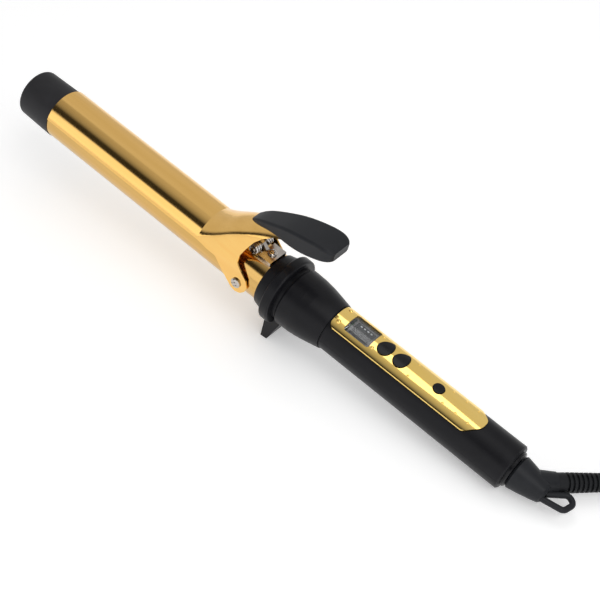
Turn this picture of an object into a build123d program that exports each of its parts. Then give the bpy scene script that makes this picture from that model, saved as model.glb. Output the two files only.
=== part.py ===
from build123d import *
import os
from math import asin, atan2, cos, degrees, hypot, pi, radians, sin, sqrt, tan

# Curling iron, in millimetres. It is drawn along X, the tip towards -X and the lever up (+Z),
# and is then tipped onto the foot of its stand ring and the rear edge of its handle.

# Barrel and tip cap
barrel_radius = 16.0
barrel_wall = 1.0
barrel_front = -197.5
barrel_rear = 4.0
tip_front = -224.0
tip_front_radius = 15.6
tip_rear_radius = 16.3
tip_rounding = 2.6
tip_wall = 2.4
spigot_length = 9.0
seat_gap = 0.1

# Heater inside the barrel
heater_front = -170.0
heater_rear = -100.0
heater_wall = 2.2
element_thickness = 3.4
element_width = 17.0
lead_radius = 0.9
lead_spread = 5.0
bush_front = -46.0
bush_bore = 8.5

# Clamp: a thin formed plate with a raised hood and two ears
plate = 0.8
clamp_front = -197.0
clamp_edge_height = 5.2
ear_half_width = 17.5
pivot_x = -34.5
pivot_z = -2.3
ear_radius = 7.2
shoulder_radius = 2.0
running_gap = 0.05
# Hood, as curves along its length with knots of (x, value, slope)
roof_curve = [
    (-69.0, 17.1, 0.52), (-62.0, 21.4, 0.68), (-48.0, 32.0, 0.70), (-32.0, 41.6, 0.46), (-13.0, 47.4, 0.2),
]
top_radius_curve = [(-69.0, 17.1, -0.16), (-48.0, 13.6, -0.12), (-13.0, 10.4, -0.06)]
lean_curve = [(-69.0, 2.0, 0.36), (-48.0, 8.8, 0.2), (-13.0, 12.5, 0.03)]
wall_curve = [(-69.0, 17.15, 0.014), (-50.0, 17.45, 0.008), (-13.0, 17.5, 0.0)]
hood_front = -69.0
hood_rear = -13.0
hood_stations = 17
hood_floor = -14.0

# Thumb lever sections: x, underside, top, width, corner radius
lever_sections = [
    (-42.6, 35.0, 36.9, 7.0, 0.8),
    (-39.0, 36.4, 40.2, 10.6, 1.2),
    (-33.0, 38.8, 44.2, 13.6, 1.5),
    (-22.0, 41.6, 50.2, 16.4, 1.7),
    (-10.0, 43.0, 55.2, 18.8, 1.8),
    (2.0, 46.4, 58.6, 20.0, 1.8),
    (9.2, 49.2, 59.7, 19.8, 1.8),
    (13.8, 51.2, 59.4, 17.4, 1.7),
    (16.0, 52.6, 58.7, 12.8, 1.5),
]
lever_screw_x = -27.0
lever_screw_length = 4.0

# Clamp spring and its bracket
spring_x = -34.6
spring_z = 19.1
spring_wire = 0.55
spring_radius = 2.6
spring_span = (2.5, 7.5)
spring_turns = 3.25
spring_lower_leg = 10.5
spring_upper_leg = 14.2
bracket_front = -30.6
bracket_rear = -21.4
bracket_half_width = 7.2
bracket_top = 18.2
bracket_plate = 1.0
bracket_screw_x = -26.0
pin_radius = 1.5
pin_reach = 8.6
ear_half_thickness = 1.2

# Collar, stand ring and cone
nose_front = -21.0
ring_front = -13.5
ring_rear = -7.0
ring_radius = 21.9
sleeve_radius = 17.4
sleeve_rear = 8.0
cone_front = -4.0
cone_rear = 26.3
cone_outline = [
    (-4.0, 18.2), (-3.0, 18.9), (6.0, 18.6), (12.0, 17.9), (18.0, 16.8), (24.0, 15.6), (26.3, 15.1),
]
foot_half_width = 12.0
foot_bottom = -34.4
foot_toe = (-12.6, -8.0)
foot_root = (-12.9, -1.4)

# Handle
handle_radius = 14.3
handle_wall = 2.0
handle_rear = 155.0
spigot_front = 12.0
end_wall = 3.0
seam = 0.1
handle_screw_places = (117.0, 127.0)

# Control panel
panel_front = 27.2
panel_rear = 131.0
panel_radius = 15.1
panel_thickness = 1.6
panel_half_width = 10.0
panel_corner = 3.0
panel_rear_corner = 5.5
panel_taper = (7.5, 3.4)
window_front = 35.4
window_rear = 53.4
window_half_width = 7.3
window_corner = 1.4
lens_radius = 14.5
pips = [(30.6, 1.5), (55.2, 1.1), (81.0, 0.75), (105.5, 0.75), (114.5, 0.75), (123.0, 0.75)]
pip_spread = 5.5
button_rise = 0.7
button_travel = 0.8
button_gap = 0.35
adjust_button_places = {"plus_button": 61.4, "minus_button": 72.6}
adjust_button_size = (4.3, 5.9, -1.5)
adjust_button_point = 0.9
adjust_button_turn = -18.0
power_button_x = 98.6
power_button_radius = 3.4
button_foot = 10.6
board_front = 30.0
board_rear = 111.0
board_half_width = 9.5
board_bottom = 5.4
board_thickness = 1.6

# Cord swivel
swivel_front = 134.0
shaft_radius = 6.5
boot_front = 157.4
boot_rear = 178.0
boot_outline = [(157.4, 9.4), (158.6, 10.4), (165.0, 9.2), (172.0, 7.6), (176.4, 6.4), (178.0, 4.6)]
sleeve_start = 168.0
sleeve_angle = 48.0
socket_radius = (8.0, 6.3)
relief_from = 14.0
relief_length = 54.0
relief_radius = (5.8, 4.7)
relief_collar = 5.2
relief_ribs = 17
rib_depth = 1.3
groove_share = 0.5
relief_tip = 1.6
loop_points = [(171.5, -5.2), (190.4, -1.2), (192.4, 6.6), (187.2, 9.4), (177.5, 0.0)]
loop_corner = 3.2
loop_bar = 1.8

# Mains cord
cord_radius = 3.0
coil_inner = 24.5
coil_step = 6.6
coil_layer = 6.5
coil_quarters = 13
coil_base = 1.4
coil_dip = 2.2
coil_wind = -1
tie_wall = 1.0
tie_width = 12.0
tie_turn = 300.0
lead_runs = [
    (14.0, 0.0, 6.15), (14.0, -12.0, 5.2), (14.0, -14.0, 4.6), (14.0, -14.0, 4.4), (10.0, -8.0, 4.4),
]
tail_runs = [(13.0, 0.0, 10.9), (14.0, -6.0, 9.2), (15.0, -20.0, 6.2), (15.0, -20.0, 4.2), (15.0, -20.0, 4.8),
             (13.0, -18.0, 7.7), (10.0, -8.0, 8.0)]
plug_size = (26.0, 24.0, 16.0)
plug_neck = 13.0
blade_size = (17.0, 1.5, 6.3)
blade_spread = 12.7

# Resting pose
lip_rounding = 0.9
tilt = degrees(atan2(-foot_bottom - handle_radius, handle_rear - lip_rounding - foot_toe[1]))


def turned(outline):
    # Solid of revolution about the X axis, from (x, radius) points.
    return revolve(Plane.XZ * make_face(Polyline(*outline, close=True)), Axis.X)


def pipe(front, rear, outer, inner):
    return turned([(front, inner), (rear, inner), (rear, outer), (front, outer)])


def rod(front, rear, radius):
    return turned([(front, 0), (rear, 0), (rear, radius), (front, radius)])


def slab(x, y, z):
    # Box from its three (low, high) spans.
    size = [high - low for low, high in (x, y, z)]
    middle = [(low + high) / 2 for low, high in (x, y, z)]
    return Pos(*middle) * Box(*size)


def cross_rod(x, z, radius, low, high):
    # Cylinder along Y between two values of y.
    return Pos(x, (low + high) / 2, z) * Rot(90, 0, 0) * Cylinder(radius, high - low)


def upright(x, y, radius, low, high):
    return Pos(x, y, (low + high) / 2) * Cylinder(radius, high - low)


def side_shape(points, half_width):
    # Outline in the XZ plane made solid to both sides of the middle.
    return extrude(Plane.XZ * make_face(Polyline(*points, close=True)), half_width, both=True)


def cross_recess(size, width, depth):
    # Driver cross, cut down from z = 0.
    arm = Box(size, width, depth, align=(Align.CENTER, Align.CENTER, Align.MAX))
    return arm + Rot(0, 0, 90) * arm


def screw(head_radius, head_height, shank_radius, length):
    # Domed screw standing along Z, the head's seat at z = 0 and the shank below it.
    rim = head_height * 0.4
    dome = Plane.XZ * make_face(
        Polyline((0, head_height), (0, 0), (head_radius, 0), (head_radius, rim))
        + ThreePointArc((head_radius, rim), (head_radius * 0.62, head_height * 0.86), (0, head_height))
    )
    body = revolve(dome, Axis.Z) + upright(0, 0, shank_radius, -length, 0)
    recess = cross_recess(head_radius * 1.1, head_radius * 0.24, head_height * 0.5)
    return body - Pos(0, 0, head_height + 0.01) * recess


def biarc(start, start_way, end, end_way):
    # Two tangent arcs from one point and direction to another.
    span = end - start
    ways = start_way + end_way
    share = 2 * (1 - start_way.dot(end_way))
    along = span.dot(ways)
    reach = (sqrt(along * along + share * span.dot(span)) - along) / share
    first = start + start_way * reach
    second = end - end_way * reach
    middle = (first + second) * 0.5
    return [
        TangentArc(start, middle, tangent=start_way),
        TangentArc(middle, end, tangent=(second - first).normalized()),
    ]


def wound_wire(places, ways):
    edges = []
    for index in range(len(places) - 1):
        edges += biarc(places[index], ways[index], places[index + 1], ways[index + 1])
    return edges


def tip_cap():
    step = barrel_radius - barrel_wall - seat_gap
    hollow = step - tip_wall
    body = turned([
        (tip_front, 0), (tip_front, tip_front_radius), (barrel_front, tip_rear_radius), (barrel_front, step),
        (barrel_front + spigot_length, step), (barrel_front + spigot_length, hollow),
        (tip_front + tip_wall, hollow), (tip_front + tip_wall, 0),
    ])
    circles = body.edges().filter_by(GeomType.CIRCLE)
    nose = circles.group_by(Axis.X)[0].sort_by(SortBy.RADIUS)[-1]
    return fillet(nose, tip_rounding)


def barrel_tube():
    tube = pipe(barrel_front, barrel_rear, barrel_radius, barrel_radius - barrel_wall)
    tube -= cross_rod(pivot_x, pivot_z, 1.6, -20, 20)
    return tube - upright(bracket_screw_x, 0, 1.6, 10, 20)


def heater_shoe(side):
    # Half-round spreader: a curved wall that seats in the barrel and a flat web on the element.
    outer = barrel_radius - barrel_wall - seat_gap
    wall = pipe(heater_front, heater_rear, outer, outer - heater_wall)
    web = rod(heater_front, heater_rear, outer - heater_wall / 2)
    low = element_thickness / 2 + 0.05
    web &= slab((heater_front, heater_rear), (-outer, outer), (low, low + 2.4))
    half = wall & slab((heater_front, heater_rear), (-outer, outer), (low, outer))
    shoe = half + web
    return shoe if side > 0 else mirror(shoe, Plane.XY)


def heating_element():
    reach = element_width / 2
    flat = element_thickness / 2
    return slab((heater_front + 4, heater_rear - 4), (-reach, reach), (-flat, flat))


def thermistor():
    outer = barrel_radius - barrel_wall - seat_gap - heater_wall
    body = Pos(heater_rear - 12, 0, outer - 2.6) * Rot(0, 90, 0) * Cylinder(1.3, 7)
    return body + Pos(heater_rear - 15.5, 0, outer - 2.6) * Sphere(1.3)


def thermal_fuse():
    middle = (heater_rear + bush_front) / 2
    body = rod(middle - 6, middle + 6, 2.0)
    wires = rod(middle - 11, middle + 11, 0.5)
    return Pos(0, 0, 7) * (body + wires)


def heater_leads():
    # Two insulated wires from the element to the underside of the board.
    wires = []
    for side in (-1, 1):
        y = side * lead_spread
        route = FilletPolyline(
            (heater_rear - 3.5, y, 0), (barrel_rear + 8, y, 0), (board_front + 8, y, board_bottom - 1.4),
            radius=12)
        wires.append(sweep(Plane(route @ 0, z_dir=route % 0) * Circle(lead_radius), path=route))
    return Compound(wires)


def barrel_bush():
    outer = barrel_radius - barrel_wall - seat_gap
    bush = pipe(bush_front, barrel_rear - 1, outer, bush_bore)
    bush -= cross_rod(pivot_x, pivot_z, 1.5 + 0.02, -20, 20)
    return bush - upright(bracket_screw_x, 0, 1.5 + 0.02, 5, 20)


def pivot_spacers():
    inner_face = ear_half_width - plate - 0.1
    washers = []
    for side in (-1, 1):
        low, high = sorted((side * 14.5, side * inner_face))
        washer = cross_rod(pivot_x, pivot_z, 3.6, low, high)
        washer -= cross_rod(pivot_x, pivot_z, shoulder_radius + 0.05, low, high)
        washers.append((washer - rod(-60, 0, barrel_radius + 0.03)).solid())
    return Compound(washers)


def pivot_screws():
    # Shoulder screws: the ears turn on the shoulder, the thread holds in the bush.
    seat = ear_half_width + 0.12
    shoulder = barrel_radius + 0.02
    screws = []
    for side in (-1, 1):
        body = screw(3.3, 1.9, shoulder_radius, seat - shoulder)
        body += upright(0, 0, 1.5, -7.5, -(seat - shoulder))
        screws.append(Pos(pivot_x, side * seat, pivot_z) * Rot(-90 * side, 0, 0) * body)
    return Compound(screws)


def spring_bracket():
    # Inverted channel on the barrel, with one lug in the middle that reaches forward to the spring's pin.
    inner = bracket_half_width - bracket_plate
    wide = (-bracket_half_width, bracket_half_width)
    block = slab((bracket_front, bracket_rear), wide, (12, bracket_top))
    block -= slab((bracket_front - 1, bracket_rear + 1), (-inner, inner), (10, bracket_top - bracket_plate))
    lug_top = spring_z + pin_radius + 1.0
    block += side_shape([
        (bracket_front + 1.5, bracket_top), (spring_x + 1.4, lug_top), (spring_x - 1.4, lug_top),
        (spring_x - 2.5, spring_z), (spring_x - 1.8, 16), (bracket_front + 1.5, 16),
    ], ear_half_thickness)
    block -= rod(-60, 0, barrel_radius + 0.05)
    block -= cross_rod(spring_x, spring_z, pin_radius + 0.03, -20, 20)
    return block - upright(bracket_screw_x, 0, 1.6, 10, 30)


def bracket_screw():
    return Pos(bracket_screw_x, 0, bracket_top + 0.02) * screw(2.9, 1.9, 1.5, 7.0)


def spring_pin():
    return cross_rod(spring_x, spring_z, pin_radius, -pin_reach, pin_reach)


def clamp_spring():
    # Two mirrored torsion coils: one leg of each lies under the bracket, the other reaches the hood.
    near, far = spring_span
    quarters = round(spring_turns * 4)
    places = []
    ways = []
    for index in range(quarters + 1):
        angle = radians(-90 - 90 * index)
        y = near + (far - near) * index / quarters
        rise = (far - near) * 2 / (pi * quarters) if 0 < index < quarters else 0
        places.append(Vector(spring_x + spring_radius * cos(angle), y, spring_z + spring_radius * sin(angle)))
        ways.append(Vector(spring_radius * sin(angle), rise, -spring_radius * cos(angle)).normalized())
    lower_end = places[0] - ways[0] * spring_lower_leg
    upper_end = places[-1] + ways[-1] * spring_upper_leg
    turns = wound_wire(places, ways)
    edges = [Line(lower_end, places[0])] + turns + [Line(places[-1], upper_end)]
    print("spring least gap", round(least_gap(turns, spring_wire), 2))
    coil = sweep(Plane(lower_end, z_dir=ways[0]) * Circle(spring_wire), path=Wire(edges))
    return Compound([coil, mirror(coil, Plane.XZ)])


def curve_at(knots, x):
    # Value and slope of a smooth curve through its knots.
    x = max(x, knots[0][0])
    for (x0, low, low_slope), (x1, high, high_slope) in zip(knots, knots[1:]):
        if x <= x1:
            break
    span = x1 - x0
    t = (x - x0) / span
    rise = high - low
    bend = low_slope * span - rise
    lift = rise - high_slope * span
    value = low + t * rise + t * (1 - t) * ((1 - t) * bend + t * lift)
    slope = rise + (1 - 2 * t) * ((1 - t) * bend + t * lift) + t * (1 - t) * (lift - bend)
    return value, slope / span


def hood_face(x, inset):
    # Arch in a YZ plane: upright walls, leaning sides and a round top.
    top_radius = curve_at(top_radius_curve, x)[0]
    lean = curve_at(lean_curve, x)[0]
    radius = top_radius - inset
    centre = curve_at(roof_curve, x)[0] - top_radius
    wide = curve_at(wall_curve, x)[0] - inset
    reach = hypot(wide, lean - centre)
    turn = asin((lean - centre) / reach) + asin(sqrt(1 - (radius / reach) ** 2))
    touch = (radius * cos(turn), centre + radius * sin(turn))
    outline = Polyline(
        (-touch[0], touch[1]), (-wide, lean), (-wide, hood_floor), (wide, hood_floor), (wide, lean), touch)
    arch = ThreePointArc(touch, (0, centre + radius), (-touch[0], touch[1]))
    return Plane((x, 0, 0), x_dir=(0, 1, 0), z_dir=(1, 0, 0)) * make_face(outline + arch)


def hood_solid(inset):
    step = (hood_rear - hood_front) / (hood_stations - 1)
    return loft([hood_face(hood_front + step * index, inset) for index in range(hood_stations)])


def clamp_plate():
    straight = hood_front - clamp_front
    half_pipe = extrude(hood_face(hood_front, 0), -straight)
    half_pipe -= extrude(hood_face(hood_front, plate), -straight)
    half_pipe &= slab((clamp_front, hood_front), (-20, 20), (clamp_edge_height, 20))
    hood = hood_solid(0) - hood_solid(plate)
    ear_bottom = pivot_z - ear_radius
    kept = side_shape([
        (hood_front, clamp_edge_height), (-53.0, clamp_edge_height), (-46.5, -1.2), (-40.6, -6.2),
        (-37.6, ear_bottom + 0.8), (-34.2, ear_bottom), (-30.4, ear_bottom + 1.4), (-27.6, -4.6),
        (-26.6, -0.4), (-28.4, 4.2), (-34.2, 9.4), (-37.2, 12.4), (-37.6, 17.4), (-35.4, 24.0),
        (-32.4, 30.6), (-28.6, 35.8), (-23.0, 40.4), (-16.0, 43.6),
        (-15.2, 55.0), (hood_front, 55.0),
    ], 20)
    hood &= kept
    hood -= cross_rod(pivot_x, pivot_z, shoulder_radius + running_gap, -25, 25)
    hood -= roof_stand() * upright(0, 0, 1.5, -4, 4)
    return half_pipe + hood


def roof_stand():
    # Plane on the roof, square to its slope, where the lever's screw goes through.
    height, slope = curve_at(roof_curve, lever_screw_x)
    return Plane((lever_screw_x, 0, height), z_dir=(-slope, 0, 1))


def thumb_lever():
    faces = []
    for x, low, high, width, corner in lever_sections:
        plane = Plane((x, 0, (low + high) / 2), x_dir=(0, 1, 0), z_dir=(1, 0, 0))
        faces.append(plane * RectangleRounded(width, high - low, corner))
    lever = loft(faces)
    lever -= hood_solid(-0.06) & slab((-60, -14.8), (-20, 20), (0, 60))
    lever -= roof_stand() * upright(0, 0, 1.25, -4, lever_screw_length - 1.0)
    return lever.solids().sort_by(SortBy.VOLUME)[-1]


def lever_screw():
    body = screw(2.2, 1.3, 1.2, lever_screw_length)
    return roof_stand() * (Pos(0, 0, -plate - 0.5) * Rot(180, 0, 0) * body)


def collar_nose():
    bore = barrel_radius + seat_gap
    body = turned([
        (nose_front, bore), (nose_front, 17.2), (ring_front, 19.0), (ring_front, sleeve_radius),
        (sleeve_rear, sleeve_radius), (sleeve_rear, bore),
    ])
    lip = body.edges().filter_by(GeomType.CIRCLE).group_by(Axis.X)[0].sort_by(SortBy.RADIUS)[-1]
    return fillet(lip, 0.8)


def stand_ring():
    ring = pipe(ring_front, ring_rear, ring_radius, sleeve_radius + seat_gap)
    rims = ring.edges().filter_by(GeomType.CIRCLE).filter_by(lambda edge: edge.radius > ring_radius - 0.1)
    ring = fillet(rims, 1.3)
    toe_bottom = foot_bottom - tan(radians(tilt)) * (foot_toe[1] - foot_toe[0])
    foot = side_shape([
        (foot_root[0], -14), (foot_toe[0], toe_bottom), (foot_toe[1], foot_bottom), (foot_root[1], -14),
    ], foot_half_width)
    foot -= rod(-30, ring_rear, sleeve_radius + seat_gap)
    foot -= rod(-30, 20, 19.4)
    rear_foot = foot & slab((ring_rear, 10), (-20, 20), (-60, 0))
    front_foot = foot & slab((-30, ring_rear), (-20, 20), (-60, 0))
    return ring + front_foot + rear_foot


def handle_cone():
    bore = handle_radius - 0.8 + seat_gap
    return turned(cone_outline + [
        (cone_rear, bore), (sleeve_rear + 0.2, bore), (sleeve_rear + 0.2, sleeve_radius + seat_gap),
        (cone_front, sleeve_radius + seat_gap),
    ])


def panel_outline(growth):
    # Plan of the control panel, seen from above.
    wide = panel_half_width + growth
    front = panel_front - growth
    rear = panel_rear + growth
    taper_x, taper_y = panel_taper
    outline = make_face(Polyline(
        (front, -wide), (rear - taper_x, -wide), (rear, -taper_y), (rear, taper_y), (rear - taper_x, wide),
        (front, wide), close=True))
    corners = outline.vertices().sort_by(Axis.X)
    outline = fillet(corners[:2], panel_corner)
    return fillet(outline.vertices().sort_by(Axis.X)[-4:], panel_rear_corner)


def window_outline(growth):
    middle = (window_front + window_rear) / 2
    long = window_rear - window_front + 2 * growth
    wide = 2 * (window_half_width + growth)
    return Pos(middle, 0) * RectangleRounded(long, wide, window_corner + growth / 2)


def leaf_outline(growth):
    # Drop-shaped push button: a half round towards -Y and two arcs that meet in a soft point.
    wide, reach, middle = adjust_button_size
    wide += growth
    reach += growth * 1.2
    bend = (wide ** 2 + (reach - middle) ** 2) / (2 * wide)
    turn = atan2(reach - middle, bend - wide) / 2
    shoulder = (wide - bend + bend * cos(turn), middle + bend * sin(turn))
    round_end = ThreePointArc((-wide, middle), (0, middle - wide), (wide, middle))
    right = ThreePointArc((wide, middle), shoulder, (0, reach))
    left = ThreePointArc((0, reach), (-shoulder[0], shoulder[1]), (-wide, middle))
    leaf = make_face(round_end + right + left)
    leaf = fillet(leaf.vertices().sort_by(Axis.Y)[-1], adjust_button_point + growth)
    return Rot(0, 0, adjust_button_turn) * leaf


def button_outlines(growth):
    shapes = {name: Pos(x, 0) * leaf_outline(growth) for name, x in adjust_button_places.items()}
    shapes["power_button"] = Pos(power_button_x, 0) * Circle(power_button_radius + growth)
    return shapes


def raised(outline, low, high):
    return Pos(0, 0, low) * extrude(outline, high - low)


def handle_shell(upper):
    # One half of the handle: tube, front spigot and end wall.
    inner = handle_radius - handle_wall
    shell = turned([
        (spigot_front, inner), (handle_rear - end_wall, inner), (handle_rear - end_wall, 7.7),
        (handle_rear, 7.7),
        (handle_rear, handle_radius - lip_rounding), (handle_rear - lip_rounding, handle_radius),
        (cone_rear + 0.1, handle_radius), (cone_rear + 0.1, handle_radius - 0.8),
        (spigot_front, handle_radius - 0.8),
    ])
    span = (spigot_front - 1, handle_rear + 1)
    floor = panel_radius - panel_thickness - 0.05
    if upper:
        shell &= slab(span, (-20, 20), (seam / 2, 20))
        pocket = raised(panel_outline(0.15), 5, 20) - rod(0, 200, floor)
        shell -= pocket
        shell -= raised(window_outline(0.1), 5, 20)
        for outline in button_outlines(button_gap).values():
            shell -= raised(outline, 5, 20)
        for place in handle_screw_places:
            post = upright(place, 0, 3.4, 1.0, 12.6)
            shell += post & rod(0, 200, inner + 0.3)
            shell -= upright(place, 0, 1.4, 0, 14)
            shell -= upright(place, 0, 2.7, 11.4, 16)
        return shell
    shell &= slab(span, (-20, 20), (-20, -seam / 2))
    for place in handle_screw_places:
        post = upright(place, 0, 3.4, -12.6, 0.9)
        shell += post & rod(0, 200, inner + 0.3)
        shell -= upright(place, 0, 1.22, -9, 2)
    for place in board_screw_places():
        post = upright(place, 0, 2.6, -12.6, board_bottom - 0.03)
        shell += post & rod(0, 200, inner + 0.3)
        shell -= upright(place, 0, 1.17, -4, 8)
    return shell


def board_screw_places():
    return board_front + 3, board_rear - 3


def handle_screws():
    screws = [Pos(place, 0, 11.42) * screw(2.5, 1.5, 1.2, 17.0) for place in handle_screw_places]
    return Compound(screws)


def control_panel():
    skin = pipe(panel_front - 5, panel_rear + 5, panel_radius, panel_radius - panel_thickness)
    cover = skin & raised(panel_outline(0), 5, 20)
    cover -= raised(window_outline(0), 5, 20)
    for outline in button_outlines(button_gap).values():
        cover -= raised(outline, 5, 20)
    skin_height = sqrt(panel_radius ** 2 - pip_spread ** 2)
    for x, radius in pips:
        for side in (-1, 1):
            cover += Pos(x, side * pip_spread, skin_height - radius * 0.35) * Sphere(radius)
    return cover


def display_lens():
    skin = pipe(window_front - 2, window_rear + 2, lens_radius, lens_radius - 1.1)
    return skin & raised(window_outline(-0.05), 5, 20)


def lcd_module():
    low = board_bottom + board_thickness + 0.02
    reach = window_half_width - 1.2
    return slab((window_front + 1, window_rear - 1), (-reach, reach), (low, 10.6))


def circuit_board():
    board = slab((board_front, board_rear), (-board_half_width, board_half_width),
                 (board_bottom, board_bottom + board_thickness))
    for x in board_screw_places():
        board -= upright(x, 0, 1.2, 0, 10)
    chip = slab((78, 88), (-4, 4), (board_bottom + board_thickness, board_bottom + board_thickness + 1.4))
    relay = slab((84, 100), (-5, 5), (board_bottom - 6.5, board_bottom))
    return board + chip + relay


def tact_switches():
    low = board_bottom + board_thickness + 0.02
    places = list(adjust_button_places.values()) + [power_button_x]
    switches = []
    for x in places:
        body = slab((x - 3, x + 3), (-3, 3), (low, low + 1.7))
        switches.append((body + upright(x, 0, 1.7, low, button_foot - button_travel - 0.2)).solid())
    return Compound(switches)


def board_screws():
    top = board_bottom + board_thickness + 0.02
    return Compound([Pos(x, 0, top) * screw(2.2, 1.3, 1.15, 6.0) for x in board_screw_places()])


def push_button(name):
    crown = rod(0, 200, panel_radius + button_rise)
    return raised(button_outlines(0)[name], button_foot, 20) & crown


def swivel_bush():
    return turned([
        (handle_rear - 4.5, shaft_radius + 0.06), (157.0, shaft_radius + 0.06), (157.0, 10.6), (156.4, 11.3),
        (handle_rear + 0.02, 11.3), (handle_rear + 0.02, 7.6), (handle_rear - 4.5, 7.6),
    ])


def sleeve_plane(distance):
    # Plane square to the sleeve, at a distance from where it leaves the swivel's axis.
    way = (cos(radians(sleeve_angle)), sin(radians(sleeve_angle)), 0)
    place = (sleeve_start + distance * way[0], distance * way[1], 0)
    return Plane(place, x_dir=(0, 0, 1), z_dir=way)


def swivel_boot():
    shaft = turned([
        (swivel_front, 0), (swivel_front, 4.6), (146.0, 4.6), (146.0, shaft_radius), (147.8, shaft_radius),
        (147.8, 5.4), (149.2, 5.4), (149.2, shaft_radius), (boot_front, shaft_radius)]
        + boot_outline + [(boot_rear, 0)])
    deep = sleeve_plane(0) * Circle(socket_radius[0])
    mouth = sleeve_plane(relief_from) * Circle(socket_radius[1])
    socket = loft([deep, mouth])
    return shaft + socket


def retaining_ring():
    ring = pipe(147.95, 149.05, 9.2, 5.45)
    return ring - slab((140, 155), (-3, 3), (0, 12))


def slip_rings():
    return Compound([pipe(x, x + 2.4, 5.4, 4.65) for x in (136.0, 141.0)])


def brush_carrier():
    inner = handle_radius - handle_wall - 0.1
    block = rod(135.0, 144.5, inner) & slab((135, 144.5), (-5, 5), (-13, -8.6))
    return block


def contact_brushes():
    return Compound([slab((x + 0.3, x + 2.1), (-2.5, 2.5), (-8.55, -5.75)) for x in (136.0, 141.0)])


def mains_leads():
    wires = []
    for side in (-1, 1):
        y = side * 6.5
        bends = [(104.0, y, board_bottom - 1.3), (116.0, y, 1.0), (128.0, y, -4.0), (134.0, y, -7.6)]
        route = FilletPolyline(*bends, radius=7)
        wires.append(sweep(Plane(route @ 0, z_dir=route % 0) * Circle(lead_radius), path=route))
    return Compound(wires)


def hang_loop():
    route = FilletPolyline(*[(x, y, 0) for x, y in loop_points], radius=loop_corner)
    bar = sweep(Plane(route @ 0, z_dir=route % 0) * Circle(loop_bar), path=route)
    return (bar - swivel_boot() - strain_relief()).solids().sort_by(SortBy.VOLUME)[-1]


def strain_relief():
    # Tapered sleeve: a smooth collar, then turned ribs, then a smooth end.
    big, small = relief_radius
    bore = cord_radius + seat_gap
    pitch = (relief_length - relief_collar - relief_tip) / relief_ribs
    outline = [(0, bore), (0, big), (relief_collar, big)]
    for index in range(relief_ribs):
        low = relief_collar + pitch * index
        crest = low + pitch * groove_share
        rib = big - (big - small) * index / (relief_ribs - 1)
        outline += [(low, rib - rib_depth), (crest, rib - rib_depth), (crest, rib), (low + pitch, rib)]
    outline += [(relief_length - 0.6, small), (relief_length, small - 0.6), (relief_length, bore)]
    stand = sleeve_plane(relief_from + 0.02)
    return stand * Rot(0, -90, 0) * turned(outline)


def floor_route(start, heading, runs):
    # Cord points from (length, left turn in degrees, height of the next point).
    points = [Vector(*start)]
    for length, turn, height in runs:
        heading += turn
        flat = sqrt(length * length - (height - points[-1].Z) ** 2)
        step = Vector(flat * cos(radians(heading)), flat * sin(radians(heading)), height - points[-1].Z)
        points.append(points[-1] + step)
    return points, heading


def cord_tube(name, points):
    # Tube along straight runs joined by the largest arcs that they have room for.
    radii = []
    for before, here, after in zip(points, points[1:], points[2:]):
        turn = radians((here - before).get_angle(after - here))
        radii.append(0.45 * min((here - before).length, (after - here).length) / tan(turn / 2))
    route = FilletPolyline(*points, radius=radii)
    tube = sweep(Plane(route @ 0, z_dir=route % 0) * Circle(cord_radius), path=route)
    print(name, "length", round(route.length, 1), "radii", [round(radius) for radius in radii])
    share = tube.volume / (pi * cord_radius ** 2 * route.length)
    print(name, "volume over section times length", round(share, 3))
    return tube


def coil_path(centre, entry_angle):
    # Two layers: inwards on the floor, up in the half turn at the middle, outwards on top.
    low = cord_radius + coil_base
    quarter = coil_step / 4
    count = range(coil_quarters)
    stations = [(coil_inner + quarter * (coil_quarters - index), low, -1, 0) for index in count]
    stations += [(coil_inner, low, 0, 0), (coil_inner - coil_dip, low + coil_layer / 2, 0, 1)]
    stations += [(coil_inner, low + coil_layer, 0, 0)]
    stations += [(coil_inner + quarter * (index + 1), low + coil_layer, 1, 0) for index in count]
    places = []
    ways = []
    for index, (radius, height, spread, climb) in enumerate(stations):
        angle = radians(entry_angle + coil_wind * 90 * index)
        out = Vector(cos(angle), sin(angle), 0)
        along = Vector(-sin(angle), cos(angle), 0) * coil_wind
        places.append(centre + out * radius + Vector(0, 0, height))
        slope = Vector(0, 0, climb * 1.4 * coil_layer / pi)
        ways.append((along * radius + out * (spread * coil_step / (2 * pi)) + slope).normalized())
    ways[0] = Vector(-sin(radians(entry_angle)), cos(radians(entry_angle)), 0) * coil_wind
    ways[-1] = ways[0]
    return places, ways


def least_gap(edges, wire_radius):
    # Least clear distance between turns, on points along the wound line.
    points = [edge @ (step / 6) for edge in edges for step in range(6)]
    apart = 4 * 6
    gaps = [(points[i] - points[j]).length for i in range(len(points)) for j in range(i + apart, len(points))]
    return min(gaps) - 2 * wire_radius


def cord_coil(places, ways):
    straight = 2 * cord_radius
    first = places[0] - ways[0] * straight
    last = places[-1] + ways[-1] * straight
    edges = [Line(first, places[0])] + wound_wire(places, ways) + [Line(places[-1], last)]
    length = sum(edge.length for edge in edges)
    print("coil length", round(length, 1), "least gap", round(least_gap(edges, cord_radius), 2))
    return sweep(Plane(first, z_dir=ways[0]) * Circle(cord_radius), path=Wire(edges)), last


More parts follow.
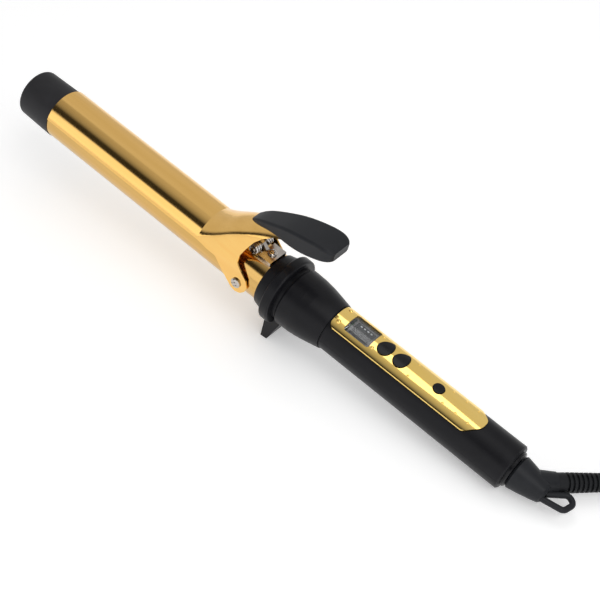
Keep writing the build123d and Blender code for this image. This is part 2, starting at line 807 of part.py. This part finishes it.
def coil_tie(centre, entry_angle):
    # Flat strap round the bundle of turns.
    room = 2.0
    inner = coil_inner - cord_radius - room
    outer = coil_inner + coil_step * coil_quarters / 4 + cord_radius + room
    top = coil_base + 2 * cord_radius + coil_layer + 0.3
    reach = (inner + outer) / 2
    hole = Pos(reach, 0, (tie_wall + 0.1 + top) / 2) * Box(outer - inner, tie_width, top - tie_wall - 0.1)
    wrap = Box(outer - inner + 2 * tie_wall, tie_width, top + tie_wall - 0.1)
    wrap = Pos(reach, 0, (top + tie_wall + 0.1) / 2) * wrap
    wrap = fillet(wrap.edges().filter_by(Axis.Y), 2.4)
    hole = fillet(hole.edges().filter_by(Axis.Y), 1.4)
    return Pos(centre.X, centre.Y, 0) * Rot(0, 0, entry_angle + coil_wind * tie_turn) * (wrap - hole)


def plug(place, heading):
    # Two-blade plug lying flat, drawn along X from the cord's end.
    long, wide, high = plug_size
    middle = place.Z
    body = Pos(plug_neck + long / 2, 0, 0) * Box(long, wide, high - 0.1)
    body = fillet(body.edges().filter_by(Axis.X), 5.0)
    body = fillet(body.faces().sort_by(Axis.X)[0].edges(), 3.0)
    neck = turned([(seat_gap, 0), (seat_gap, 4.4), (plug_neck + 1, 5.6), (plug_neck + 1, 0)])
    blades = []
    for side in (-1, 1):
        blade = Box(*blade_size, align=(Align.MIN, Align.CENTER, Align.CENTER))
        blade = fillet(blade.faces().sort_by(Axis.X)[-1].edges().filter_by(Axis.Y), 1.8)
        blade -= Pos(12.5, 0, 0) * Rot(90, 0, 0) * Cylinder(1.6, 4)
        blades.append(Pos(plug_neck + long + 0.02, side * blade_spread / 2, 0) * blade)
    stand = Pos(place.X, place.Y, middle) * Rot(0, 0, heading)
    return stand * (body + neck), stand * Compound(blades)


def export_all(parts):
    os.makedirs("parts", exist_ok=True)
    for name, shape in parts.items():
        export_step(shape, f"parts/{name}.step")


iron = {
    "tip_cap": tip_cap(),
    "barrel_tube": barrel_tube(),
    "heater_shoe_upper": heater_shoe(1),
    "heater_shoe_lower": heater_shoe(-1),
    "heating_element": heating_element(),
    "thermistor": thermistor(),
    "thermal_fuse": thermal_fuse(),
    "heater_leads": heater_leads(),
    "barrel_bush": barrel_bush(),
    "pivot_spacers": pivot_spacers(),
    "pivot_screws": pivot_screws(),
    "spring_bracket": spring_bracket(),
    "bracket_screw": bracket_screw(),
    "spring_pin": spring_pin(),
    "clamp_spring": clamp_spring(),
    "clamp_plate": clamp_plate(),
    "thumb_lever": thumb_lever(),
    "lever_screw": lever_screw(),
    "collar_nose": collar_nose(),
    "stand_ring": stand_ring(),
    "handle_cone": handle_cone(),
    "handle_upper_shell": handle_shell(True),
    "handle_lower_shell": handle_shell(False),
    "handle_screws": handle_screws(),
    "control_panel": control_panel(),
    "display_lens": display_lens(),
    "lcd_module": lcd_module(),
    "circuit_board": circuit_board(),
    "tact_switches": tact_switches(),
    "board_screws": board_screws(),
    "plus_button": push_button("plus_button"),
    "minus_button": push_button("minus_button"),
    "power_button": push_button("power_button"),
    "swivel_bush": swivel_bush(),
    "swivel_boot": swivel_boot(),
    "retaining_ring": retaining_ring(),
    "slip_rings": slip_rings(),
    "brush_carrier": brush_carrier(),
    "contact_brushes": contact_brushes(),
    "mains_leads": mains_leads(),
    "hang_loop": hang_loop(),
    "strain_relief": strain_relief(),
}
# Stand the iron on its foot and handle, with the origin under the middle of its box.
tipped = {name: Rot(0, tilt, 0) * shape for name, shape in iron.items()}
boxes = [shape.bounding_box() for name, shape in tipped.items() if name != "strain_relief"]
shift_x = -(min(box.min.X for box in boxes) + max(box.max.X for box in boxes)) / 2
shift_z = foot_toe[1] * sin(radians(tilt)) - foot_bottom * cos(radians(tilt))
parts = {name: Pos(shift_x, 0, shift_z) * shape for name, shape in tipped.items()}
print("tilt", round(tilt, 4), "shift", round(shift_x, 4), round(shift_z, 4))

# Lay the cord on the floor from the end of the strain relief.
sleeve_end = sleeve_plane(relief_from + relief_length + 0.04)
exit_way = sleeve_end.z_dir.rotate(Axis.Y, tilt)
exit_place = sleeve_end.origin.rotate(Axis.Y, tilt) + Vector(shift_x, 0, shift_z)
exit_heading = degrees(atan2(exit_way.Y, exit_way.X))
lead_points, coil_heading = floor_route(exit_place, exit_heading, lead_runs)
entry = coil_heading - coil_wind * 90
coil_outer = coil_inner + coil_step * coil_quarters / 4
out_way = Vector(cos(radians(entry)), sin(radians(entry)), 0)
along_way = Vector(cos(radians(coil_heading)), sin(radians(coil_heading)), 0)
coil_start = lead_points[-1] + along_way * (2 * cord_radius)
coil_centre = coil_start - out_way * coil_outer
coil_centre = Vector(coil_centre.X, coil_centre.Y, 0)
coil_places, coil_ways = coil_path(coil_centre, entry)
coil, coil_last = cord_coil(coil_places, coil_ways)
tail_points, plug_heading = floor_route(coil_last, coil_heading, tail_runs)
parts["cord_lead"] = cord_tube("cord lead", lead_points)
parts["cord_coil"] = coil
parts["coil_tie"] = coil_tie(coil_centre, entry)
parts["cord_tail"] = cord_tube("cord tail", tail_points)
parts["plug_body"], parts["plug_blades"] = plug(tail_points[-1], plug_heading)

export_all(parts)
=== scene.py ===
import math
import bpy
from mathutils import Matrix, Vector


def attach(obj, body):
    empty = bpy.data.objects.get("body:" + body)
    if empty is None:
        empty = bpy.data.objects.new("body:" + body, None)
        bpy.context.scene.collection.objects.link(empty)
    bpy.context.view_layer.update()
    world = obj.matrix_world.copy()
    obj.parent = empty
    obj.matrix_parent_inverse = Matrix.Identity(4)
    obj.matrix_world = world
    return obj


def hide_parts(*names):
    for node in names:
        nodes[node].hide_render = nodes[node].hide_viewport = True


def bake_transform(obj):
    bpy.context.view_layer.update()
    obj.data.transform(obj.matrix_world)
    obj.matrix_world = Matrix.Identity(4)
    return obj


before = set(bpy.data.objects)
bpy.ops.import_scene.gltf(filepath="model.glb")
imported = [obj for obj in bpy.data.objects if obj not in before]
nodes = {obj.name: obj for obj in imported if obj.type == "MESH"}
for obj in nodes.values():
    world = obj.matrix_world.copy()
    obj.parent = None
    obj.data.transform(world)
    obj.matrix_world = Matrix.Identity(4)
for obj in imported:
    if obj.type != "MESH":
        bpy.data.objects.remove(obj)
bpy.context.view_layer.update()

mm = 0.001  # the frame is in metres
# the iron is drawn along its barrel in millimetres, then tipped onto its foot
resting = {"tilt": 7.0685, "shift": (15.8526, 0.0, 33.1541)}
tipped = Matrix.Rotation(math.radians(resting["tilt"]), 4, "Y")
stand = Matrix.Translation(Vector(resting["shift"]) * mm) @ tipped


def place(x, y, z):
    return stand @ (Vector((x, y, z)) * mm)


def link(tree, source, target):
    tree.links.new(source, target)


# what all finishes share
grainLook = {"detail": 3.0, "toneStops": (0.3, 0.7), "bumpDetail": 2.0, "bumpFiner": 3, "bumpDepth": 0.0002}


# one finish: two tones and the roughness from a stretched grain, bump from a finer one
def makeFinish(name, look):
    mat = bpy.data.materials.new(name)
    mat.use_nodes = True
    tree = mat.node_tree
    shader = tree.nodes["Principled BSDF"]
    shader.inputs["Metallic"].default_value = look.get("metallic", 0.0)
    shader.inputs["IOR"].default_value = look.get("ior", 1.5)
    shader.inputs["Sheen Weight"].default_value = look.get("sheen", 0.0)
    shader.inputs["Transmission Weight"].default_value = look.get("clear", 0.0)
    shader.inputs["Emission Color"].default_value = (1, 1, 1, 1)
    shader.inputs["Emission Strength"].default_value = look.get("glow", 0.0)
    coords = tree.nodes.new("ShaderNodeTexCoord")
    turn = tree.nodes.new("ShaderNodeMapping")
    turn.inputs["Rotation"].default_value = (0, math.radians(-resting["tilt"]), 0)
    stretch = tree.nodes.new("ShaderNodeMapping")
    stretch.inputs["Scale"].default_value = look.get("stretch", (1, 1, 1))
    link(tree, coords.outputs["Object"], turn.inputs["Vector"])
    link(tree, turn.outputs["Vector"], stretch.inputs["Vector"])
    grain = tree.nodes.new("ShaderNodeTexNoise")
    grain.inputs["Scale"].default_value = look["grain"]
    grain.inputs["Detail"].default_value = grainLook["detail"]
    link(tree, stretch.outputs["Vector"], grain.inputs["Vector"])
    tones = tree.nodes.new("ShaderNodeValToRGB")
    for stop, position, tone in zip(tones.color_ramp.elements, grainLook["toneStops"], ("dark", "light")):
        stop.position = position
        stop.color = (*look[tone], 1)
    link(tree, grain.outputs["Fac"], tones.inputs["Fac"])
    link(tree, tones.outputs["Color"], shader.inputs["Base Color"])
    rough = tree.nodes.new("ShaderNodeMapRange")
    rough.inputs["To Min"].default_value = look["rough"][0]
    rough.inputs["To Max"].default_value = look["rough"][1]
    link(tree, grain.outputs["Fac"], rough.inputs["Value"])
    link(tree, rough.outputs["Result"], shader.inputs["Roughness"])
    if look.get("bump"):
        fine = tree.nodes.new("ShaderNodeTexNoise")
        fine.inputs["Scale"].default_value = look.get("bumpGrain", look["grain"] * grainLook["bumpFiner"])
        fine.inputs["Detail"].default_value = grainLook["bumpDetail"]
        link(tree, stretch.outputs["Vector"], fine.inputs["Vector"])
        bump = tree.nodes.new("ShaderNodeBump")
        bump.inputs["Strength"].default_value = look["bump"]
        bump.inputs["Distance"].default_value = look.get("bumpDepth", grainLook["bumpDepth"])
        link(tree, fine.outputs["Fac"], bump.inputs["Height"])
        link(tree, bump.outputs["Normal"], shader.inputs["Normal"])
    return mat


finishes = {
    "clampGold": makeFinish("clamp_gold", {
        "dark": (0.86, 0.52, 0.155), "light": (0.92, 0.57, 0.185), "metallic": 1.0, "rough": (0.09, 0.16),
        "grain": 260, "stretch": (0.04, 1, 1), "bump": 0.05, "bumpGrain": 700, "bumpDepth": 0.0001}),
    # painted shade: the barrel's gold is a darker copy of the clamp's gold, standing in for the shade and
    # dark floor reflection under the clamp
    "barrelGoldPaintedShade": makeFinish("barrel_gold_painted_shade", {
        "dark": (0.62, 0.38, 0.12), "light": (0.68, 0.43, 0.145), "metallic": 1.0, "rough": (0.10, 0.17),
        "grain": 260, "stretch": (0.04, 1, 1), "bump": 0.05, "bumpGrain": 700, "bumpDepth": 0.0001}),
    "panelGold": makeFinish("panel_gold", {
        "dark": (0.95, 0.65, 0.18), "light": (0.99, 0.70, 0.22), "metallic": 1.0, "rough": (0.07, 0.13),
        "grain": 180, "stretch": (0.1, 1, 1), "bump": 0.03, "bumpGrain": 400, "bumpDepth": 0.0001}),
    "softBlack": makeFinish("soft_black", {
        "dark": (0.006, 0.006, 0.0075), "light": (0.008, 0.008, 0.010), "rough": (0.34, 0.44), "ior": 1.26,
        "grain": 120, "bump": 0.12, "bumpGrain": 2600, "bumpDepth": 0.0001}),
    "leverBlack": makeFinish("lever_black", {
        "dark": (0.011, 0.012, 0.0145), "light": (0.014, 0.015, 0.018), "rough": (0.40, 0.50), "ior": 1.30,
        "grain": 140, "bump": 0.15, "bumpGrain": 2400, "bumpDepth": 0.0001}),
    "tipBlack": makeFinish("tip_black", {
        "dark": (0.017, 0.0165, 0.0185), "light": (0.022, 0.0215, 0.024), "rough": (0.46, 0.56), "ior": 1.30,
        "grain": 140, "bump": 0.12, "bumpGrain": 2400, "bumpDepth": 0.0001}),
    "buttonBlack": makeFinish("button_black", {
        "dark": (0.004, 0.004, 0.005), "light": (0.007, 0.007, 0.009), "rough": (0.24, 0.32), "ior": 1.30,
        "grain": 200, "bump": 0.05, "bumpGrain": 2600, "bumpDepth": 0.0001}),
    "cordRubber": makeFinish("cord_rubber", {
        "dark": (0.008, 0.0085, 0.010), "light": (0.011, 0.0115, 0.0135), "rough": (0.40, 0.52), "ior": 1.28,
        "grain": 90, "bump": 0.12, "bumpGrain": 1800, "bumpDepth": 0.0001}),
    "nickel": makeFinish("nickel", {
        "dark": (0.44, 0.40, 0.36), "light": (0.54, 0.50, 0.46), "metallic": 1.0, "rough": (0.12, 0.22),
        "grain": 500, "bump": 0.06, "bumpDepth": 0.0001}),
    "springSteel": makeFinish("spring_steel", {
        "dark": (0.55, 0.53, 0.51), "light": (0.68, 0.66, 0.64), "metallic": 1.0, "rough": (0.18, 0.32),
        "grain": 700, "bump": 0.05, "bumpDepth": 0.0001}),
    "rawAluminium": makeFinish("raw_aluminium", {
        "dark": (0.62, 0.62, 0.63), "light": (0.74, 0.74, 0.75), "metallic": 1.0, "rough": (0.34, 0.48),
        "grain": 300, "stretch": (0.05, 1, 1), "bump": 0.1, "bumpDepth": 0.0001}),
    "whiteCeramic": makeFinish("white_ceramic", {
        "dark": (0.78, 0.75, 0.68), "light": (0.88, 0.86, 0.80), "rough": (0.5, 0.65),
        "grain": 300, "bump": 0.1}),
    "wireSleeve": makeFinish("wire_sleeve", {
        "dark": (0.60, 0.58, 0.53), "light": (0.78, 0.76, 0.71), "rough": (0.6, 0.75),
        "grain": 900, "bump": 0.3}),
    "innerPlastic": makeFinish("inner_plastic", {
        "dark": (0.13, 0.13, 0.14), "light": (0.20, 0.20, 0.21), "rough": (0.30, 0.42),
        "grain": 160, "bump": 0.06}),
    "clearWindow": makeFinish("clear_window", {
        "dark": (0.86, 0.87, 0.88), "light": (0.90, 0.91, 0.92), "rough": (0.03, 0.07), "grain": 80,
        "clear": 1.0, "ior": 1.46}),
    "displayGrey": makeFinish("display_grey", {
        "dark": (0.20, 0.20, 0.205), "light": (0.25, 0.25, 0.255), "rough": (0.25, 0.35), "grain": 600}),
    "displayDark": makeFinish("display_dark", {
        "dark": (0.065, 0.068, 0.070), "light": (0.095, 0.098, 0.100), "rough": (0.18, 0.26),
        "grain": 500}),
    "displayWhite": makeFinish("display_white", {
        "dark": (0.82, 0.83, 0.84), "light": (0.90, 0.91, 0.92), "rough": (0.3, 0.4), "grain": 500}),
    "boardGreen": makeFinish("board_green", {
        "dark": (0.02, 0.12, 0.05), "light": (0.03, 0.18, 0.08), "rough": (0.28, 0.38),
        "grain": 700, "bump": 0.1}),
    "copper": makeFinish("copper", {
        "dark": (0.72, 0.40, 0.22), "light": (0.80, 0.48, 0.28), "metallic": 1.0, "rough": (0.2, 0.34),
        "grain": 500}),
    "carbon": makeFinish("carbon", {
        "dark": (0.05, 0.05, 0.05), "light": (0.09, 0.09, 0.09), "rough": (0.55, 0.7),
        "grain": 900, "bump": 0.2}),
    "strapWeave": makeFinish("strap_weave", {
        "dark": (0.008, 0.008, 0.009), "light": (0.020, 0.020, 0.022), "rough": (0.7, 0.85), "grain": 1500,
        "sheen": 0.05, "bump": 0.5, "bumpDepth": 0.0003}),
}

dressing = {
    "clampGold": ["clamp_plate"],
    # the barrel takes the darker gold: painted shade under the clamp
    "barrelGoldPaintedShade": ["barrel_tube"],
    "panelGold": ["control_panel"],
    "softBlack": ["collar_nose", "stand_ring", "handle_cone", "handle_upper_shell", "handle_lower_shell"],
    "leverBlack": ["thumb_lever", "swivel_boot", "hang_loop"],
    "tipBlack": ["tip_cap"],
    "buttonBlack": ["plus_button", "minus_button", "power_button", "tact_switches", "swivel_bush"],
    "cordRubber": ["strain_relief", "plug_body"],
    "nickel": ["pivot_spacers", "pivot_screws", "spring_bracket", "bracket_screw", "spring_pin",
               "lever_screw", "plug_blades"],
    "springSteel": ["handle_screws", "board_screws", "retaining_ring"],
    "rawAluminium": ["heater_shoe_upper", "heater_shoe_lower", "thermal_fuse"],
    "whiteCeramic": ["heating_element", "thermistor"],
    "wireSleeve": ["heater_leads", "mains_leads"],
    "innerPlastic": ["barrel_bush", "brush_carrier"],
    "clearWindow": ["display_lens"],
    "displayGrey": ["lcd_module"],
    "boardGreen": ["circuit_board"],
    "copper": ["slip_rings"],
    "carbon": ["contact_brushes"],
}
for finish, names in dressing.items():
    for name in names:
        for slot in nodes[name].material_slots:
            slot.link = "OBJECT"
            slot.material = finishes[finish]
print("finishes on", sum(len(names) for names in dressing.values()), "nodes")


# points read from a smooth spline through control points
def smoothLine(name, points, steps):
    curve = bpy.data.curves.new(name, "CURVE")
    curve.dimensions = "3D"
    spline = curve.splines.new("NURBS")
    spline.points.add(len(points) - 1)
    for control, point in zip(spline.points, points):
        control.co = (*point, 1)
    spline.order_u = 3
    spline.use_endpoint_u = True
    spline.resolution_u = steps
    holder = bpy.data.objects.new(name, curve)
    bpy.context.scene.collection.objects.link(holder)
    bpy.context.view_layer.update()
    line = bpy.data.meshes.new_from_object(holder)
    found = [vert.co.copy() for vert in line.vertices]
    bpy.data.objects.remove(holder)
    bpy.data.meshes.remove(line)
    bpy.data.curves.remove(curve)
    return found


# control points of a round bend stand a little outside its curve
def swell(perQuarter):
    return 8 / (6 + 2 * math.cos(math.pi / 2 / perQuarter))


# round tube along points, closed at both ends
def tubeAlong(name, points, radius, sides, finish):
    last = len(points) - 1
    ways = [(points[min(i + 1, last)] - points[max(i - 1, 0)]).normalized() for i in range(last + 1)]
    side = ways[0].orthogonal().normalized()
    verts = []
    for point, way in zip(points, ways):
        side = (side - way * side.dot(way)).normalized()
        other = way.cross(side)
        for k in range(sides):
            angle = 2 * math.pi * k / sides
            verts.append(point + (side * math.cos(angle) + other * math.sin(angle)) * radius)
    faces = []
    for i in range(last):
        for k in range(sides):
            after = (k + 1) % sides
            faces.append((i * sides + k, i * sides + after, (i + 1) * sides + after, (i + 1) * sides + k))
    faces.append(tuple(range(sides))[::-1])
    faces.append(tuple(last * sides + k for k in range(sides)))
    mesh = bpy.data.meshes.new(name)
    mesh.from_pydata(verts, [], faces)
    mesh.materials.append(finish)
    mesh.polygons.foreach_set("use_smooth", [len(face) == 4 for face in faces])
    piece = bpy.data.objects.new(name, mesh)
    bpy.context.scene.collection.objects.link(piece)
    return piece


# block between two ends along each axis, its place applied to its mesh
def makeBlock(name, *ends):
    bpy.ops.object.select_all(action="DESELECT")
    bpy.ops.mesh.primitive_cube_add(size=1, location=[sum(pair) / 2 for pair in ends])
    block = bpy.context.object
    block.name = name
    block.scale = [pair[1] - pair[0] for pair in ends]
    bpy.ops.object.transform_apply(location=True, rotation=True, scale=True)
    return block


# edit mode with the edges picked that run along one axis
def pickEdges(piece, axis, least):
    bpy.ops.object.mode_set(mode="EDIT")
    bpy.ops.mesh.select_mode(type="EDGE")
    bpy.ops.mesh.select_all(action="DESELECT")
    bpy.ops.object.mode_set(mode="OBJECT")
    for edge in piece.data.edges:
        a, b = (piece.data.vertices[k].co for k in edge.vertices)
        edge.select = abs(a[axis] - b[axis]) > least
    bpy.ops.object.mode_set(mode="EDIT")


# mains cord: out of the sleeve, along the floor, into a two-layer coil and on to the plug
cordLook = {
    "radius": 3.0, "sides": 14, "steps": 8, "bend": 17.2,
    "lead": [(227.757, 50.564, 6.878), (237.073, 60.989, 6.15), (248.342, 69.242, 5.2),
             (261.291, 74.531, 4.6), (275.146, 76.531, 4.4), (285.145, 76.569, 4.4)],
    "centre": (291.320, 30.642), "entry": 90.217, "inner": 24.5, "step": 6.6, "layer": 6.5, "low": 4.4,
    "dip": 2.2, "quarters": 13, "perQuarter": 6, "wind": -1,
    "tail": [(297.145, 76.615, 10.9), (310.145, 76.664, 10.9), (323.971, 75.264, 9.2), (337.205, 68.871, 6.2),
             (347.572, 58.217, 4.2), (353.720, 44.548, 4.8), (355.093, 31.950, 7.7), (354.782, 21.959, 8.0)],
}


def coilPoints(look):
    per = look["perQuarter"]
    total = 2 * look["quarters"] + 2
    found = []
    for j in range(total * per + 1):
        q = j / per
        t = min(max((q - look["quarters"]) / 2, 0), 1)
        spread = max(look["quarters"] - q, q - look["quarters"] - 2, 0)
        radius = look["inner"] + look["step"] / 4 * spread - look["dip"] * math.sin(math.pi * t) ** 2
        out = radius * swell(per)
        height = look["low"] + look["layer"] * t * t * (3 - 2 * t)
        angle = math.radians(look["entry"] + look["wind"] * 90 * q)
        found.append((look["centre"][0] + out * math.cos(angle), look["centre"][1] + out * math.sin(angle),
                      height))
    return found


cordControls = [Vector(p) * mm for p in cordLook["lead"] + coilPoints(cordLook) + cordLook["tail"]]
cordLine = smoothLine("cord_line", cordControls, cordLook["steps"])
mainsCord = tubeAlong("mains_cord", cordLine, cordLook["radius"] * mm, cordLook["sides"],
                      finishes["cordRubber"])
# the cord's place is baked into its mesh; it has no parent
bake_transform(mainsCord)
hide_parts("cord_lead", "cord_coil", "cord_tail")

# strap round the coil, its room inside and outside the bundle and above it
strapLook = {"turn": 300.0, "room": (0.4, -0.4), "above": 0.3, "wall": 1.0, "width": 12.0, "base": 0.1,
             "corner": 2.4, "cornerSteps": 6, "rim": 0.25, "rimSteps": 2, "smooth": 40.0}


def makeStrap(look, coil):
    inner = coil["inner"] - coil["radius"] - look["room"][0] - look["wall"]
    bundle = coil["step"] * coil["quarters"] / 4 + coil["radius"]
    outer = coil["inner"] + bundle + look["room"][1] + look["wall"]
    top = coil["low"] + coil["radius"] + coil["layer"] + look["above"] + look["wall"]
    half = look["width"] / 2
    strap = makeBlock("coil_strap", (inner, outer), (-half, half), (look["base"], top))
    bpy.ops.object.mode_set(mode="EDIT")
    bpy.ops.mesh.select_mode(type="FACE")
    bpy.ops.mesh.select_all(action="DESELECT")
    bpy.ops.object.mode_set(mode="OBJECT")
    for poly in strap.data.polygons:
        poly.select = abs(poly.normal.y) > 0.9  # the two open sides
    bpy.ops.object.mode_set(mode="EDIT")
    bpy.ops.mesh.delete(type="ONLY_FACE")
    pickEdges(strap, 1, half)
    bpy.ops.mesh.bevel(offset=look["corner"], segments=look["cornerSteps"])
    bpy.ops.object.mode_set(mode="OBJECT")
    wall = strap.modifiers.new("wall", "SOLIDIFY")
    wall.thickness = look["wall"]
    wall.offset = -1
    bpy.ops.object.modifier_apply(modifier="wall")
    rim = strap.modifiers.new("rim", "BEVEL")
    rim.width = look["rim"]
    rim.segments = look["rimSteps"]
    rim.limit_method = "ANGLE"
    bpy.ops.object.modifier_apply(modifier="rim")
    turn = Matrix.Rotation(math.radians(coil["entry"] + coil["wind"] * look["turn"]), 4, "Z")
    strap.data.transform(Matrix.Scale(mm, 4) @ Matrix.Translation((*coil["centre"], 0)) @ turn)
    strap.data.materials.append(finishes["strapWeave"])
    bpy.ops.object.shade_smooth_by_angle(angle=math.radians(look["smooth"]))
    return strap


coilStrap = makeStrap(strapLook, cordLook)
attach(coilStrap, "handle")
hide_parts("coil_tie")
print("strap of", len(coilStrap.data.polygons), "faces and plug on the cord")

# two mirrored torsion coils, each with a lower leg and a standing upper leg
springLook = {"x": -34.6, "z": 19.1, "wire": 0.55, "radius": 2.6, "span": (2.5, 7.5), "quarters": 13,
              "perQuarter": 6, "lowerLeg": 10.5, "upperLeg": 14.2, "steps": 4, "sides": 12,
              "bend": ((-37, 0, 23), (-37, 0, 33))}


def springPoints(look, side):
    near, far = look["span"]
    total = look["quarters"] * look["perQuarter"]
    out = look["radius"] * swell(look["perQuarter"])
    found = [place(look["x"] + look["lowerLeg"], side * near, look["z"] - look["radius"])]
    for j in range(total + 1):
        angle = math.radians(-90 - 90 * j / look["perQuarter"])
        y = near + (far - near) * j / total
        found.append(place(look["x"] + out * math.cos(angle), side * y, look["z"] + out * math.sin(angle)))
    found.append(place(look["x"] - look["radius"], side * far, look["z"] + look["upperLeg"]))
    return found


def woundSpring(look):
    bpy.ops.object.select_all(action="DESELECT")
    for side in (1, -1):
        line = smoothLine("spring_line", springPoints(look, side), look["steps"])
        coil = tubeAlong("wound_spring", line, look["wire"] * mm, look["sides"], finishes["springSteel"])
        coil.select_set(True)
    bpy.context.view_layer.objects.active = coil
    bpy.ops.object.join()
    coil.name = "wound_spring"
    return coil


clampSpring = woundSpring(springLook)
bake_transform(clampSpring)
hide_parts("clamp_spring")
print("spring wound")

# display: a darker field on the module with four small dashes
displayLook = {"x": (38.0, 50.8), "y": (-4.6, 5.0), "low": 10.62, "thick": 0.25, "corner": 0.5,
               "cornerSteps": 4}
dashLook = {"x": (41.0, 43.4, 45.9, 48.3), "y": 3.6, "long": 1.25, "wide": 0.8, "thick": 0.16, "corner": 0.2,
            "gap": 0.01, "cornerSteps": 4}


def thinPlate(name, x, y, low, look, finish):
    plate = makeBlock(name, x, y, (low, low + look["thick"]))
    pickEdges(plate, 2, look["thick"] / 2)
    bpy.ops.mesh.bevel(offset=look["corner"], segments=look["cornerSteps"])
    bpy.ops.object.mode_set(mode="OBJECT")
    plate.data.transform(stand @ Matrix.Scale(mm, 4))
    plate.data.materials.append(finish)
    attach(plate, "handle")


thinPlate("display_field", displayLook["x"], displayLook["y"], displayLook["low"], displayLook,
          finishes["displayDark"])
dashLow = displayLook["low"] + displayLook["thick"] + dashLook["gap"]
dashY = (dashLook["y"] - dashLook["wide"] / 2, dashLook["y"] + dashLook["wide"] / 2)
for number, middle in enumerate(dashLook["x"]):
    dashX = (middle - dashLook["long"] / 2, middle + dashLook["long"] / 2)
    thinPlate(f"display_dash_{number + 1}", dashX, dashY, dashLow, dashLook, finishes["displayWhite"])
print("display dressed")

# pale floor, sky with a dark band part of the way up, a broad key light and a strip over the handle
studio = {"floor": 6.0, "floorTone": (0.93, 0.93, 0.93), "floorGlow": 0.30,
          "key": {"spot": (0.9, -0.5, 1.5), "goal": (0, 0, 0), "shape": "DISK", "size": (1.1, 1.1),
                  "power": 9.0},
          "strip": {"spot": place(-40, 62, 500), "goal": place(80, 0, 14), "shape": "RECTANGLE",
                    "size": (0.20, 0.27), "power": 0.26},
          "lean": {"X": (-0.45, -0.9, 0.9), "Y": (0.0, 1.0, 1.2)},
          "sky": [(0.0, 1.30), (0.49, 1.30), (0.56, 0.03), (0.76, 0.03), (0.82, 0.22), (0.90, 0.42),
                  (1.0, 0.66)]}


def addLight(name, look):
    light = bpy.data.lights.new(name, "AREA")
    light.shape = look["shape"]
    light.size, light.size_y = look["size"]
    light.energy = look["power"]
    lamp = bpy.data.objects.new(name, light)
    lamp.location = look["spot"]
    lamp.rotation_euler = (Vector(look["goal"]) - Vector(look["spot"])).to_track_quat("-Z", "Y").to_euler()
    bpy.context.scene.collection.objects.link(lamp)


def buildStudio(look):
    bpy.ops.object.select_all(action="DESELECT")
    bpy.ops.mesh.primitive_plane_add(size=look["floor"], location=(0, 0, 0))
    floor = bpy.context.object
    floor.name = "floor"
    floor.data.materials.append(makeFinish("floor_paper", {
        "dark": look["floorTone"], "light": look["floorTone"], "rough": (0.75, 0.85), "grain": 40,
        "glow": look["floorGlow"]}))
    world = bpy.data.worlds.new("studio_sky")
    bpy.context.scene.world = world
    world.use_nodes = True
    tree = world.node_tree
    coords = tree.nodes.new("ShaderNodeTexCoord")
    split = tree.nodes.new("ShaderNodeSeparateXYZ")
    ramp = tree.nodes.new("ShaderNodeValToRGB")
    while len(ramp.color_ramp.elements) < len(look["sky"]):
        ramp.color_ramp.elements.new(0.5)  # each stop gets its place below
    for stop, (height, tone) in zip(ramp.color_ramp.elements, look["sky"]):
        stop.position = height
        stop.color = (tone, tone, tone, 1)
    link(tree, coords.outputs["Generated"], split.inputs["Vector"])
    height = split.outputs["Z"]
    for axis, (start, end, gain) in look["lean"].items():
        lift = tree.nodes.new("ShaderNodeMapRange")
        lift.inputs["From Min"].default_value = start
        lift.inputs["From Max"].default_value = end
        lift.inputs["To Max"].default_value = gain
        total = tree.nodes.new("ShaderNodeMath")
        link(tree, split.outputs[axis], lift.inputs["Value"])
        link(tree, height, total.inputs[0])
        link(tree, lift.outputs["Result"], total.inputs[1])
        height = total.outputs["Value"]
    link(tree, height, ramp.inputs["Fac"])
    link(tree, ramp.outputs["Color"], tree.nodes["Background"].inputs["Color"])
    for name in ("key", "strip"):
        addLight(name, look[name])


buildStudio(studio)
bpy.context.scene.view_settings.view_transform = "Standard"

# camera: swing and pitch about the barrel's axis, then the picture's own roll
shot = {"lens": 78.0, "distance": 756.0, "swing": 18.0, "pitch": 38.0, "roll": 38.4, "sensor": 36.0,
        "near": 0.01}


def aimCamera(look):
    swing, pitch, roll = (math.radians(look[key]) for key in ("swing", "pitch", "roll"))
    view = Vector((math.sin(swing), -math.sin(pitch) * math.cos(swing), math.cos(pitch) * math.cos(swing)))
    across = Vector((0, math.cos(pitch), math.sin(pitch)))
    along = across.cross(view)
    right = along * math.cos(roll) + across * math.sin(roll)
    up = across * math.cos(roll) - along * math.sin(roll)
    turn = Matrix((right, up, view)).transposed().to_4x4()
    camera = bpy.data.cameras.new("camera")
    camera.lens = look["lens"]
    camera.sensor_width = look["sensor"]
    camera.clip_start = look["near"]
    holder = bpy.data.objects.new("camera", camera)
    bpy.context.scene.collection.objects.link(holder)
    holder.matrix_world = Matrix.Translation(place(*(view * look["distance"]))) @ tipped @ turn
    bpy.context.scene.camera = holder


aimCamera(shot)
print("studio and camera set")
